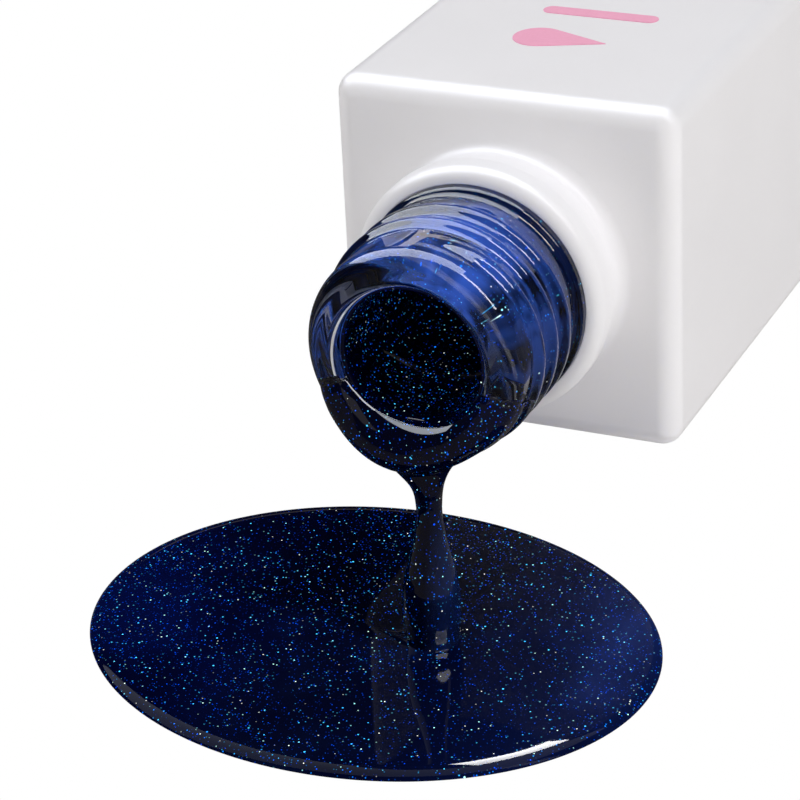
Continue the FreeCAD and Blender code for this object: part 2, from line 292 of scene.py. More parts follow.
glass = clear_glass()
rib_pitch = 2.12 * MM
rib_turns = 2.5
rib_depth = 0.42 * MM
rib_start_y = shoulder_y - 7.08 * MM


def collar_rings(depth):
    """(radius, y) down the collar from its front edge to the face; depth is how far under the coat's skin it lies."""
    face_y, front_y = shoulder_y + depth, collar_front_y + depth
    outer, waist = 8.40 * MM - depth, 7.75 * MM - depth
    front, foot, nose = 0.9 * MM - depth, 0.9 * MM + depth, 0.22 * MM
    back_y = shoulder_y - 3.0 * MM - depth * (math.sqrt(2) - 1)
    turn = nose * math.tan(math.radians(22.5))
    rings = arc((outer - front, front_y + front), front, -90, 0, 9)
    rings += arc((outer - nose, back_y - turn), nose, 0, 45, 4)
    rings += arc((waist + nose, back_y + (outer - waist) - turn), nose, 225, 180, 4)
    return rings + arc((waist + foot, face_y - foot), foot, 180, 90, 8)


def glass_outline():
    """(radius, y, reach) of the glass from the middle of its base, over the lip, to the cavity floor.

    Reach is how far the flats run from their middle before the corner round starts: 0 is a circle."""
    wall_half, corner = body_half - coat, edge_radius - coat
    reach = wall_half - corner
    hollow_half, hollow_corner = wall_half - 2 * MM, 3 * MM
    hollow_reach = hollow_half - hollow_corner
    floor_y, roof_y = base_y - coat - 3.8 * MM, shoulder_y + coat + 2.4 * MM
    bead_front = shoulder_y - 5.7 * MM
    ring_back = lip_y + 1.9 * MM
    points = [(0.0, base_y - coat, 0.0), (reach * 0.5, base_y - coat, reach * 0.5)]
    points += [(r, y, reach) for r, y in arc((reach, base_y - coat - corner), corner, 90, 0, 7)]
    points += [(r, y, reach) for r, y in arc((reach, shoulder_y + coat + corner), corner, 0, -90, 7)]
    points += [(r, y, 0.0) for r, y in reversed(collar_rings(coat))]
    points += [(bead_radius, collar_front_y + coat, 0.0)]
    points += [(bead_radius, y, 0.0) for y in np.linspace(collar_front_y - 0.1 * MM, bead_front + 0.45 * MM, 3)]
    points += [(r, y, 0.0) for r, y in arc((bead_radius - 0.4 * MM, bead_front + 0.4 * MM), 0.4 * MM, 0, -70, 7)]
    points += [(core_radius, y, 0.0) for y in np.linspace(bead_front - 0.3 * MM, ring_back + 0.1 * MM, 72)]
    points += [(r, y, 0.0) for r, y in arc((lip_radius - 1.1 * MM, lip_y + 1.1 * MM), 1.1 * MM, 0, -90, 22)]
    points += [(r, y, 0.0) for r, y in arc((bore_radius + 0.6 * MM, lip_y + 0.6 * MM), 0.6 * MM, -90, -180, 12)]
    points += [(bore_radius, y, 0.0) for y in np.linspace(lip_y + MM, roof_y - 2.2 * MM, 24)]
    points += [(r, y, 0.0) for r, y in arc((bore_radius + 2 * MM, roof_y - 2 * MM), 2 * MM, 180, 90, 9)]
    points += [(r, y, hollow_reach) for r, y in arc((hollow_reach, roof_y + hollow_corner), hollow_corner, -90, 0, 8)]
    points += [(r, y, hollow_reach) for r, y in arc((hollow_reach, floor_y - hollow_corner), hollow_corner, 0, 90, 8)]
    points += [(0.0, floor_y, 0.0)]
    return points


def ring_tree(name):
    """Tree that turns an outline of (radius, y, reach) points into a closed body with a helical rib on its neck."""
    tree = bpy.data.node_groups.new(name, "GeometryNodeTree")
    face = tree.interface
    for label, kind in (("Outline", "NodeSocketObject"), ("Around", "NodeSocketInt"), ("Pitch", "NodeSocketFloat"),
                        ("Turns", "NodeSocketFloat"), ("Phase", "NodeSocketFloat"), ("Depth", "NodeSocketFloat"),
                        ("Start", "NodeSocketFloat"),
                        ("Root Radius", "NodeSocketFloat"), ("Material", "NodeSocketMaterial")):
        face.new_socket(label, in_out="INPUT", socket_type=kind)
    face.new_socket("Mesh", in_out="OUTPUT", socket_type="NodeSocketGeometry")
    nodes = Nodes(tree)

    def given(label):
        return nodes.add("NodeGroupInput", output=label)

    outline = nodes.add("GeometryNodeObjectInfo", None, {"Object": given("Outline")}, "Geometry")
    rows = nodes.add("GeometryNodeAttributeDomainSize", {"component": "MESH"},
                     {"Geometry": outline}, "Point Count")
    grid = nodes.add("GeometryNodeMeshGrid", None, {"Size X": 1.0, "Size Y": 1.0, "Vertices X": given("Around"),
                                                    "Vertices Y": rows}, "Mesh")
    split = {axis: nodes.add("ShaderNodeSeparateXYZ", None, {0: nodes.add("GeometryNodeInputPosition")}, axis)
             for axis in ("X", "Y")}
    around = split["X"] + 0.5
    row = nodes.math("ROUND", (split["Y"] + 0.5) * (rows - 1.0))
    point = nodes.add("GeometryNodeSampleIndex", {"data_type": "FLOAT_VECTOR", "domain": "POINT"},
                      {"Geometry": outline, "Value": nodes.add("GeometryNodeInputPosition"), "Index": row})
    half, along, reach = [nodes.add("ShaderNodeSeparateXYZ", None, {0: point}, axis)
                          for axis in ("X", "Y", "Z")]
    turn = around * math.tau
    fold = nodes.math("ABSOLUTE", nodes.math("FLOORED_MODULO", turn + math.pi / 4, math.pi / 2) - math.pi / 4)
    spread = nodes.math("COSINE", fold) + nodes.math("SINE", fold)
    corner = half - reach
    round_part = reach * spread + nodes.math(
        "SQRT", nodes.math("MAXIMUM", corner * corner - reach * reach * (2.0 - spread * spread), 0.0))
    on_flat = half * nodes.math("TANGENT", fold) < reach
    radius = on_flat * (half / nodes.math("COSINE", fold)) + (1.0 - on_flat) * round_part
    wound = around + given("Phase")
    turns_up = (given("Start") - along) / given("Pitch") - wound
    whole = nodes.math("ROUND", turns_up)
    off_rib = nodes.math("ABSOLUTE", turns_up - whole)
    climb = whole + wound
    rib = (1.0 - nodes.step(off_rib, 0.06, 0.40)) * nodes.step(climb, 0.0, 0.12) \
        * (1.0 - nodes.step(climb, given("Turns") - 0.12, given("Turns")))
    outside = half > given("Root Radius") - 0.02 * MM
    near = half < given("Root Radius") + 0.02 * MM
    radius = radius + rib * given("Depth") * outside * near
    place = nodes.add("ShaderNodeCombineXYZ", None, {"X": radius * nodes.math("COSINE", turn), "Y": along,
                                                     "Z": radius * nodes.math("SINE", turn)})
    shaped = nodes.add("GeometryNodeSetPosition", None, {"Geometry": grid, "Position": place})
    welded = nodes.add("GeometryNodeMergeByDistance", None, {"Geometry": shaped, "Distance": 1e-6})
    real = nodes.add("GeometryNodeRealizeInstances", None, {"Geometry": welded})
    given_material = nodes.add("GeometryNodeSetMaterial", None,
                               {"Geometry": real, "Material": given("Material")})
    nodes.add("NodeGroupOutput", None, {"Mesh": given_material})
    return tree


def point_holder(points):
    """Throw-away object whose vertices carry an outline to a node tree."""
    mesh = bpy.data.meshes.new("outline")
    mesh.from_pydata([tuple(point) for point in points], [], [])
    return new_object("outline", mesh)


outline = point_holder(glass_outline())
bottle_glass = finish_tree_piece("bottle_glass", ring_tree("screw_neck_bottle"), {
    "Outline": outline, "Around": 241, "Pitch": rib_pitch, "Turns": rib_turns, "Phase": 0.25,
    "Depth": rib_depth, "Start": rib_start_y, "Root Radius": core_radius, "Material": glass})
bpy.data.objects.remove(outline)
closed(bottle_glass, glass)
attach(bottle_glass, "bottle")
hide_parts("glass_bottle")


# ---- Lacquer coat -------------------------------------------------------------
# Opaque white lacquer, sprayed and baked on the glass up to the foot of the neck. It is
# satin, with the faint orange peel of a sprayed film.
def white_lacquer():
    material, nodes = material_of("white_lacquer")
    place = object_place(nodes)
    peel = noise(nodes, place, 1400.0, 2.0)
    cloud = noise(nodes, place, 60.0, 2.0)
    grime = nodes.step(noise(nodes, place, 5200.0, 1.0), 0.70, 0.80)
    tone = nodes.mix(nodes.step(cloud, 0.3, 0.7), (0.86, 0.85, 0.86, 1.0), (0.885, 0.875, 0.885, 1.0))
    tone = nodes.mix(grime * 0.10, tone, (0.70, 0.68, 0.68, 1.0))
    surface(nodes, {"Base Color": tone, "Roughness": 0.34 + peel * 0.10, "IOR": 1.48, "Coat Weight": 0.12,
                    "Coat Roughness": 0.22, "Normal": bump(nodes, peel, 0.25, 0.01 * MM)})
    return material


def square_section(half, corner, y):
    return [(x, y, z) for x, z in ring_of(half, corner)]


def round_section(radius, y):
    pattern = ring_of(1.0, 0.12)
    pattern = pattern / np.linalg.norm(pattern, axis=1)[:, None]
    return [(radius * x, y, radius * z) for x, z in pattern]


def between(one, other, share):
    return [tuple(p + (q - p) * share) for p, q in zip(np.array(one), np.array(other))]


def coat_skin(depth):
    """Rings of one face of the coat, from the neck over the collar, the shoulder and the sides to the base."""
    radius, half = edge_radius - depth, body_half - depth
    reach = half - radius
    face_y = shoulder_y + depth
    rings = [round_section(bead_radius, collar_front_y + depth)]
    rings += [round_section(r, y) for r, y in collar_rings(depth)]
    rim = square_section(reach, 0.0, face_y)
    rings += [between(rings[-1], rim, share) for share in (0.25, 0.5, 0.75)]
    for angle in np.radians(np.linspace(0, 90, 13)):
        rings.append(square_section(reach + radius * math.sin(angle), radius * math.sin(angle),
                                    face_y + radius * (1 - math.cos(angle))))
    back = base_y - depth
    rings += [square_section(half, radius, y) for y in np.linspace(face_y + radius, back - radius, 14)[1:-1]]
    for angle in np.radians(np.linspace(90, 0, 13)):
        rings.append(square_section(reach + radius * math.sin(angle), radius * math.sin(angle),
                                    back - radius * (1 - math.cos(angle))))
    rings += [square_section(reach * share, 0.0, back) for share in (0.7, 0.35)]
    return rings


def weld_shells(pieces, name, material):
    """Joins meshes into one object."""
    work = bmesh.new()
    for piece in pieces:
        work.from_mesh(piece.data)
        bpy.data.objects.remove(piece)
    mesh = bpy.data.meshes.new(name)
    work.to_mesh(mesh)
    work.free()
    return closed(new_object(name, mesh), material)


def flat_weighted(piece):
    """Large flats keep their own normals where they run into the rounded edges."""
    modifier = piece.modifiers.new("flats", "WEIGHTED_NORMAL")
    modifier.keep_sharp = True
    modifier.weight = 80
    return piece


lacquer = white_lacquer()
outer, inner = coat_skin(0.0), coat_skin(coat)
white_coat = weld_shells([loft("skin", outer, lacquer, (False, True)), loft("skin", inner, lacquer, (False, True)),
                          loft("skin", [outer[0], inner[0]], lacquer, (False, False))], "white_coat", lacquer)
flat_weighted(white_coat)
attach(white_coat, "bottle")
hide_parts("lacquer_coat")


# ---- Printed mark -------------------------------------------------------------
# One pass of pink screen ink, baked on the lacquer: a plain drop and a bar.
def pink_ink():
    material, nodes = material_of("pink_ink")
    place = object_place(nodes)
    mesh_print = nodes.step(noise(nodes, place, 3800.0, 1.0), 0.3, 0.7)
    tone = nodes.mix(mesh_print, (0.86, 0.34, 0.50, 1.0), (0.88, 0.37, 0.53, 1.0))
    surface(nodes, {"Base Color": tone, "Roughness": 0.42 + mesh_print * 0.06,
                    "Normal": bump(nodes, mesh_print, 0.2, 0.01 * MM)})
    return material


def paint_node(name, material):
    """Gives a CAD node that is right as it is its own finish."""
    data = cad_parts[name].data
    data.materials.clear()
    data.materials.append(material)


paint_node("printed_mark", pink_ink())


# ---- Polish in the bottle -----------------------------------------------------
# Thick dark blue lacquer full of fine cut glitter. It wets the wall of the bore all
# round, lies level below, and dips where it runs out over the lip.
def glitter_polish(name, wall_tone=None, glint_glow_strength=1.0, ior=1.35, crowding=0.0, sides=None):
    """Near-black blue lacquer with drifts of lighter pigment and cut flakes in blue, cyan and white, whose glints are
    painted on as a glow.

    Sides gives painted light and shade across the piece, as tones that run across x: (x of the start, x of the end,
    tones)."""
    material, nodes = material_of(name)
    place = object_place(nodes)
    swirl = noise(nodes, place, 70.0, 3.0, 0.55)
    drift = noise(nodes, place, 24.0, 2.0, 0.5)
    axis_x, axis_y, axis_z = [nodes.add("ShaderNodeSeparateXYZ", None, {0: place}, axis)
                              for axis in ("X", "Y", "Z")]
    tone = nodes.mix(nodes.step(swirl * 0.55 + drift * 0.65, 0.52, 0.80), (0.0002, 0.0006, 0.010, 1.0),
                     (0.0010, 0.0035, 0.040, 1.0))
    if sides:
        # Painted light and shade: low down, the tone is drawn in part towards tones that run across the piece in x,
        # lighter where the key light falls and darker in shade.
        start, end, stops = sides
        across = nodes.add("ShaderNodeMapRange", None, {"Value": axis_x + (drift - 0.5) * 4 * MM, "From Min": start,
                                                        "From Max": end})
        painted_light_and_shade = nodes.add("ShaderNodeValToRGB", {"stops": stops}, {"Fac": across}, "Color")
        below = 1.0 - nodes.step(axis_z, -10 * MM, -8 * MM)
        tone = nodes.mix(below * (0.25 + nodes.step(swirl, 0.40, 0.62) * 0.75), tone, painted_light_and_shade)
        # Painted shadow: near the lip, under the bottle and left of the strand, the tone is drawn towards near-black.
        behind = nodes.step(axis_y, lip_y - 3 * MM, lip_y + 4 * MM) * (1.0 - nodes.step(axis_x, 0.0, 5 * MM))
        tone = nodes.mix(behind * nodes.step(axis_x, -16 * MM, -8 * MM) * 0.85, tone, (0.0, 0.0002, 0.004, 1.0))
    if wall_tone:
        radius = nodes.math("SQRT", axis_x * axis_x + axis_z * axis_z)
        # Painted light: the polish on the bore wall is patched with a lit tone and one twenty times darker, the lit
        # patches a little more often towards the top.
        lit = nodes.mix(nodes.step(noise(nodes, place, 260.0, 3.0, 0.6) + axis_z * 8.0, 0.36, 0.62),
                        tuple(0.05 * part for part in wall_tone) + (1.0,), tuple(wall_tone) + (1.0,))
        tone = nodes.mix(nodes.step(radius, 4.66 * MM, 4.70 * MM), tone, lit)
    painted_glint_glow, ground_tone = None, tone
    for scale, reach, rare in ((5400.0, 0.27, 0.34), (3600.0, 0.21, 0.44), (2300.0, 0.17, 0.60)):
        distance = nodes.add("ShaderNodeTexVoronoi", None, {"Vector": place, "Scale": scale}, "Distance")
        cell = nodes.add("ShaderNodeTexVoronoi", None, {"Vector": place, "Scale": scale}, "Color")
        chance, power, hue = [nodes.add("ShaderNodeSeparateColor", None, {0: cell}, part)
                              for part in ("Red", "Green", "Blue")]
        crowd = rare + 0.25 - crowding - nodes.step(swirl, 0.35, 0.75) * 0.4
        flake = (1.0 - nodes.step(distance, reach * 0.55, reach)) * nodes.step(chance, crowd, crowd + 0.03)
        colour = nodes.add("ShaderNodeValToRGB", {"stops": (
            (0.0, (0.0, 0.02, 0.30)), (0.40, (0.0, 0.06, 0.75)), (0.70, (0.004, 0.23, 1.0)),
            (0.88, (0.06, 0.62, 1.0)), (0.95, (0.45, 0.90, 0.80)), (0.98, (1.0, 1.0, 0.92)))}, {"Fac": hue}, "Color")
        glint = flake * (0.12 + power * power * power)
        light = nodes.mix(glint, (0.0, 0.0, 0.0, 1.0), colour)
        ground_tone = nodes.mix(glint, ground_tone, colour)
        painted_glint_glow = light if painted_glint_glow is None else nodes.add(
            "ShaderNodeMix", {"data_type": "RGBA", "blend_type": "ADD"}, {0: 1.0, 6: painted_glint_glow, 7: light}, output=2)
    # Painted glints: the flakes glow through Emission in their own colour, so they sparkle also where no light falls
    # on them.
    surface(nodes, {"Base Color": ground_tone, "Roughness": 0.04, "IOR": ior,
                    "Emission Color": painted_glint_glow, "Emission Strength": 1.5 * glint_glow_strength})
    return material


# Painted light: the wall tone is the lit blue of the polish seen through the neck, painted in patches with a darker
# copy.
inside_polish = glitter_polish("polish_in_glass", (0.024, 0.070, 0.33), 1.0, 1.35, -0.20)
level_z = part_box("polish_fill")[1][2]
wetting = 0.02 * MM
film_depth = 0.22 * MM


roll_radius, roll_low, roll_inward = 2.3 * MM, 6.3 * MM, 1.30 * MM
roll_slope = math.radians(17)


def level_at(y):
    """Height of the liquid in the bore: it sinks towards the mouth, then rolls over the lip on a wide round."""
    inward = y - lip_y
    start = roll_inward - roll_radius * math.sin(roll_slope)
    if inward < start:
        return -roll_low + math.sqrt(roll_radius ** 2 - (inward - roll_inward) ** 2)
    fall = level_z + roll_low - roll_radius * math.cos(roll_slope)
    return level_z - fall * math.exp(-(inward - start) * math.tan(roll_slope) / fall)


def liquid_rings(y, radius, reach, count=160):
    """Outer ring on the glass and inner ring round the air, at one station along the axis."""
    outer_ring, inner_ring = [], []
    for i in range(count):
        turn = math.tau * i / count
        c, s = math.cos(turn), math.sin(turn)
        fold = abs((turn + math.pi / 4) % (math.pi / 2) - math.pi / 4)
        corner = radius - reach
        if radius * math.tan(fold) < reach:
            wall = radius / math.cos(fold)
        else:
            spread = math.cos(fold) + math.sin(fold)
            wall = reach * spread + math.sqrt(max(corner ** 2 - reach ** 2 * (2 - spread ** 2), 0.0))
        air = wall - film_depth
        if s < 0:
            to_level = -level_at(y) / -s
            air = -0.25 * MM * math.log(math.exp(-air / (0.25 * MM)) + math.exp(-to_level / (0.25 * MM)))
        outer_ring.append((wall * c + wetting * c, y, wall * s + wetting * s))
        inner_ring.append((air * c, y, air * s))
    return outer_ring, inner_ring


def polish_in_bottle():
    wall_half = body_half - coat - 2 * MM
    corner = 3 * MM
    floor_y, roof_y = base_y - coat - 3.8 * MM, shoulder_y + coat + 2.4 * MM
    stations = [(y, bore_radius, 0.0) for y in np.linspace(lip_y + 0.45 * MM, roof_y - 2 * MM, 46)]
    stations += [(y, r, 0.0) for r, y in arc((bore_radius + 2 * MM, roof_y - 2 * MM), 2 * MM, 170, 90, 8)]
    reach = wall_half - corner
    stations += [(y, r, reach) for r, y in arc((reach, roof_y + corner), corner, -85, 0, 8)]
    stations += [(y, wall_half, reach) for y in np.linspace(roof_y + corner, floor_y - corner, 8)[1:]]
    stations += [(y, r, reach) for r, y in arc((reach, floor_y - corner), corner, 0, 85, 8)[1:]]
    rings = [liquid_rings(*station) for station in stations]
    outer_rings = [ring[0] for ring in rings]
    inner_rings = [ring[1] for ring in rings]
    end = len(rings) - 1
    parts = [loft("part", outer_rings, inside_polish, (False, True)),
             loft("part", inner_rings[:end], inside_polish, (False, True)),
             loft("part", [outer_rings[0], inner_rings[0]], inside_polish, (False, False))]
    return weld_shells(parts, "polish_in_bottle", inside_polish)


bottle_polish = polish_in_bottle()
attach(bottle_polish, "bottle")
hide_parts("polish_fill")


# ---- Poured polish ------------------------------------------------------------
# The polish bulges over the lower lip, creeps back under the neck, gathers into one
# strand and swells where the strand lands on the pool.
# Painted light and shade: across the strand the tones run from near-black on its left to a lighter blue on its right,
# where the key light falls.
poured = glitter_polish("polish_poured", None, 0.9, 1.5, 0.0, (-1.2 * MM, 2.6 * MM, (
    (0.0, (0.0, 0.0002, 0.002)), (0.42, (0.0004, 0.0014, 0.010)), (0.74, (0.015, 0.034, 0.130)),
    (1.0, (0.005, 0.012, 0.055)))))
pool_low, pool_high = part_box("polish_pool")
stream_low, stream_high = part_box("polish_stream")
strand_x = (stream_low[0] + stream_high[0]) / 2
strand_y = (stream_low[1] + stream_high[1]) / 2


def level_oval(x, y, half_x, half_y, z, count=96):
    turns = np.linspace(0, math.tau, count, endpoint=False)
    return [(x + half_x * math.cos(a), y + half_y * math.sin(a), z) for a in turns]


def strand():
    """Funnel under the lip, strand and bulb: (z, x, y from the lip, half width, half depth), all in millimetres."""
    plan = ((-5.2, -0.30, 1.00, 3.90, 0.90), (-5.8, -0.28, 1.02, 3.45, 1.10), (-6.4, -0.24, 1.00, 2.95, 1.20),
            (-6.9, -0.15, 0.92, 2.45, 1.25), (-7.3, 0.02, 0.82, 2.02, 1.20), (-7.7, 0.22, 0.72, 1.62, 1.12),
            (-8.2, 0.48, 0.62, 1.19, 1.00), (-8.6, 0.60, 0.57, 0.99, 0.92), (-9.1, 0.65, 0.55, 0.87, 0.85),
            (-10.0, 0.66, 0.55, 0.80, 0.80), (-11.0, 0.64, 0.55, 0.85, 0.85), (-12.2, 0.62, 0.55, 1.04, 1.04),
            (-13.3, 0.60, 0.55, 1.30, 1.30), (-14.4, 0.57, 0.55, 1.58, 1.58), (-15.5, 0.55, 0.55, 1.76, 1.76),
            (-16.6, 0.54, 0.55, 1.84, 1.84), (-17.7, 0.54, 0.55, 1.84, 1.84), (-18.5, 0.55, 0.55, 1.72, 1.72),
            (-18.9, 0.55, 0.55, 1.70, 1.70), (-19.3, 0.55, 0.55, 1.80, 1.80))
    fall = [-row[0] for row in plan]
    rings = []
    for z in np.linspace(fall[0], fall[-1], 80):
        x, y, half_x, half_y = [float(np.interp(z, fall, [row[k] for row in plan])) for k in (1, 2, 3, 4)]
        rings.append(level_oval(x * MM, lip_y + y * MM, half_x * MM, half_y * MM, -z * MM))
    return loft("part", rings, poured)


def wetted_wall():
    """Stations (radius, y, outward radius, outward y) along the glass from the bore, round the lip, to the neck."""
    mouth, crown = 0.6 * MM, 1.1 * MM
    stations = [(bore_radius, y, -1.0, 0.0) for y in np.linspace(lip_y + 5 * MM, lip_y + mouth, 18)[:-1]]
    for a in np.radians(np.linspace(180, 270, 8)):
        stations.append((bore_radius + mouth + mouth * math.cos(a), lip_y + mouth + mouth * math.sin(a),
                         math.cos(a), math.sin(a)))
    for a in np.radians(np.linspace(-90, 0, 10)):
        stations.append((lip_radius - crown + crown * math.cos(a), lip_y + crown + crown * math.sin(a),
                         math.cos(a), math.sin(a)))
    stations += [(lip_radius + 0.15 * MM, y, 1.0, 0.0) for y in np.linspace(lip_y + crown, lip_y + 6 * MM, 20)[1:]]
    return stations


def bell(value, middle, spread):
    return math.exp(-((value - middle) / spread) ** 2)


def roll_depth(radius, y, out_r, out_y):
    """How thick the polish is at the lowest point of the lip, along the glass's own normal, up to the wide round."""
    inward = y - lip_y
    if out_r < -0.99:
        return radius + level_at(y) + (0.04 - 0.14 * min(max(inward / MM - 3.0, 0.0), 1.0)) * MM
    away_r, away_y = radius - roll_low, inward - roll_inward
    along = away_r * out_r + away_y * out_y
    return -along + math.sqrt(max(along ** 2 + roll_radius ** 2 - away_r ** 2 - away_y ** 2, 0.0))


def film_on_lip():
    """Skin of polish that has crept over the lower half of the lip and back under the neck."""
    stations = wetted_wall()
    last_in_mouth, last_on_lip = 24, len(stations) - 20
    skin, seat = [], []
    for index, (radius, y, out_r, out_y) in enumerate(stations):
        inward = (y - lip_y) / MM
        inside = out_r < -0.5
        under = index > last_on_lip
        skin_ring, seat_ring = [], []
        spread = 62 if inside else (66 if not under else 52 - 2.2 * inward)
        centre = -88 if not under else -76
        for turn in np.linspace(centre - spread - 8, centre + spread + 8, 150):
            a = math.radians(turn)
            ragged = 4.0 * math.sin(turn * 0.21 + inward) + 2.5 * math.sin(turn * 0.53 + 2.1 * inward)
            cover = 1.0 - 1.0 / (1.0 + math.exp((spread + ragged * 0.6 - abs(turn - centre)) / 4.0))
            if index <= last_in_mouth:
                thin = 0.20 if inside else 0.16
                depth = thin + (roll_depth(radius, y, out_r, out_y) / MM - thin) * bell(turn, -90, 50)
            elif under:
                depth = 0.03 + 0.16 * bell(turn, -114, 26)
            else:
                spill = roll_depth(radius, y, out_r, out_y) / MM
                share = min(max((1.0 + out_y) / 0.9, 0.0), 1.0)
                spill += (0.22 - spill) * share * share * (3.0 - 2.0 * share)
                depth = 0.05 + (spill - 0.05) * bell(turn, -98 - 14 * share, 44 - 14 * share)
            thick = (-0.06 + (depth + 0.06) * cover) * MM
            for ring, offset in ((skin_ring, thick), (seat_ring, -0.16 * MM)):
                r = radius + out_r * offset
                ring.append((r * math.cos(a), y + out_y * offset, r * math.sin(a)))
        skin.append(skin_ring)
        seat.append(seat_ring)
    rings = [top + bottom[::-1] for top, bottom in zip(skin, seat)]
    return loft("part", rings, poured)


def remeshed(piece, voxel, rounds, factor=0.5):
    """One smooth skin round overlapping closed parts."""
    modifier = piece.modifiers.new("skin", "REMESH")
    modifier.mode = "VOXEL"
    modifier.voxel_size = voxel
    modifier.use_smooth_shade = True
    relax = piece.modifiers.new("relax", "SMOOTH")
    relax.factor, relax.iterations = factor, rounds
    graph = bpy.context.evaluated_depsgraph_get()
    graph.update()
    piece.data = bpy.data.meshes.new_from_object(piece.evaluated_get(graph))
    piece.modifiers.clear()
    return piece


pour = remeshed(weld_shells([strand(), film_on_lip()], "poured_polish", poured), 0.12 * MM, 8)
closed(pour, poured)
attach(pour, "bottle")
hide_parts("polish_overflow", "polish_stream")
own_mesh(pour)


# ---- Pool of polish -----------------------------------------------------------
# The polish has spread to an even oval pool. Surface tension rounds its rim, and a
# low fillet rises to the strand.
def pool_height(distance):
    return 0.10 * MM * math.exp(-max(distance - 1.6 * MM, 0.0) / (0.55 * MM))


def pool_mesh():
    centre_x, centre_y = -3.6 * MM, lip_y + 0.4 * MM
    half_length, half_width, turn = 19.05 * MM, 15.9 * MM, math.radians(-11.8)
    top, bottom = pool_high[2], pool_low[2]
    thick, rim, tuck = top - bottom, 1.2 * MM, 0.9 * MM
    rings = []

    def ring(inset, z, lift=True):
        points = []
        for a in np.linspace(0, math.tau, 220, endpoint=False):
            px, py = (half_length - inset) * math.cos(a), (half_width - inset) * math.sin(a)
            x = centre_x + px * math.cos(turn) - py * math.sin(turn)
            y = centre_y + px * math.sin(turn) + py * math.cos(turn)
            rise = pool_height(math.hypot(x - strand_x, y - strand_y)) if lift else 0.0
            points.append((x, y, z - 0.10 * MM + rise if lift else z))
        return points

    for share in (0.97, 0.9, 0.8, 0.7, 0.6, 0.5, 0.4, 0.3, 0.2, 0.15):
        rings.append(ring(half_width * share, top))
    for angle in np.radians(np.linspace(0, 70, 12)):
        rings.append(ring(rim * (1 - math.sin(angle)), bottom + (thick - 0.10 * MM) * math.cos(angle) ** 0.9, False))
    for angle in np.radians(np.linspace(20, 90, 5)):
        rings.append(ring(0.1 * MM + tuck * math.sin(angle), bottom + 0.25 * thick * (1 - math.sin(angle)), False))
    rings += [ring(half_width * share, bottom, False) for share in (0.3, 0.6, 0.9)]
    return loft("pool", rings, pooled)


# Painted light and shade: across the pool the tones are lighter towards the right, where the key light falls, with
# painted shade in a darker band across the middle.
pooled = glitter_polish("polish_pool", None, 1.1, 1.08, 0.03, (-22 * MM, 15 * MM, (
    (0.0, (0.0008, 0.0034, 0.046)), (0.25, (0.0006, 0.0030, 0.040)), (0.45, (0.0022, 0.0050, 0.026)),
    (0.64, (0.0026, 0.0062, 0.034)), (0.78, (0.0060, 0.0140, 0.080)), (0.90, (0.0095, 0.0220, 0.125)),
    (1.0, (0.0020, 0.0060, 0.045)))))
pool = pool_mesh()
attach(pool, "bottle")
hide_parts("polish_pool")


# ---- Mixing balls -------------------------------------------------------------
# Two polished stainless balls that stir the glitter when the bottle is shaken.
def bright_steel():
    material, nodes = material_of("bright_steel")
    scratch = noise(nodes, object_place(nodes), 2600.0, 4.0)
    surface(nodes, {"Base Color": (0.62, 0.63, 0.65, 1.0), "Metallic": 1.0,
                    "Roughness": nodes.step(scratch, 0.3, 0.9) * 0.15 + 0.08})
    return material


steel = bright_steel()
paint_node("mixing_balls", steel)


# ---- Liner --------------------------------------------------------------------
# Die-cut washer of closed-cell foam that seals the lip.
def soft_foam():
    material, nodes = material_of("liner_foam")
    place = object_place(nodes)
    cells = nodes.add("ShaderNodeTexVoronoi", None, {"Vector": place, "Scale": 5200.0}, "Distance")
    surface(nodes, {"Base Color": nodes.mix(cells, (0.80, 0.80, 0.78, 1.0), (0.88, 0.88, 0.86, 1.0)),
                    "Roughness": 0.75, "Normal": bump(nodes, cells, 0.4, 0.02 * MM)})
    return material


paint_node("sealing_liner", soft_foam())


# ---- Inner cap, overcap -------------------------------------------------------
# The inner cap is natural polypropylene with moulded flutes and a screw rib; the square
# overcap is white plastic, pressed over it.
def milky_plastic():
    material, nodes = material_of("natural_plastic")
    place = object_place(nodes)
    flow = noise(nodes, place, 300.0, 3.0)
    surface(nodes, {"Base Color": nodes.mix(flow, (0.74, 0.75, 0.75, 1.0), (0.82, 0.83, 0.83, 1.0)),
                    "Roughness": 0.32 + flow * 0.12, "Subsurface Weight": 0.35,
                    "Subsurface Radius": (1.0, 1.0, 1.0), "Subsurface Scale": 0.6 * MM,
                    "Normal": bump(nodes, flow, 0.2, 0.02 * MM)})
    return material


def moulded_white():
    material, nodes = material_of("moulded_white")
    place = object_place(nodes)
    grain = noise(nodes, place, 2600.0, 2.0)
    cloud = noise(nodes, place, 70.0, 2.0)
    surface(nodes, {"Base Color": nodes.mix(cloud, (0.84, 0.83, 0.84, 1.0), (0.88, 0.87, 0.88, 1.0)),
                    "Roughness": 0.36 + grain * 0.12, "Normal": bump(nodes, grain, 0.25, 0.01 * MM)})
    return material


def refined(name, new_name, material, body, angle=35.0):
    """Copy of a CAD node with its triangles welded, its edges kept and its curves shaded smooth."""
    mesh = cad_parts[name].data.copy()
    piece = new_object(new_name, mesh)
    work = bmesh.new()
    work.from_mesh(mesh)
    bmesh.ops.remove_doubles(work, verts=work.verts, dist=1e-6)
    bmesh.ops.dissolve_limit(work, angle_limit=math.radians(0.5), verts=work.verts, edges=work.edges)
    for face in work.faces:
        face.smooth = True
    for edge in work.edges:
        edge.smooth = not (edge.is_manifold and edge.calc_face_angle(0.0) > math.radians(angle))
    work.to_mesh(mesh)
    work.free()
    mesh.materials.clear()
    mesh.materials.append(material)
    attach(piece, body)
    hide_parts(name)
    return flat_weighted(piece)


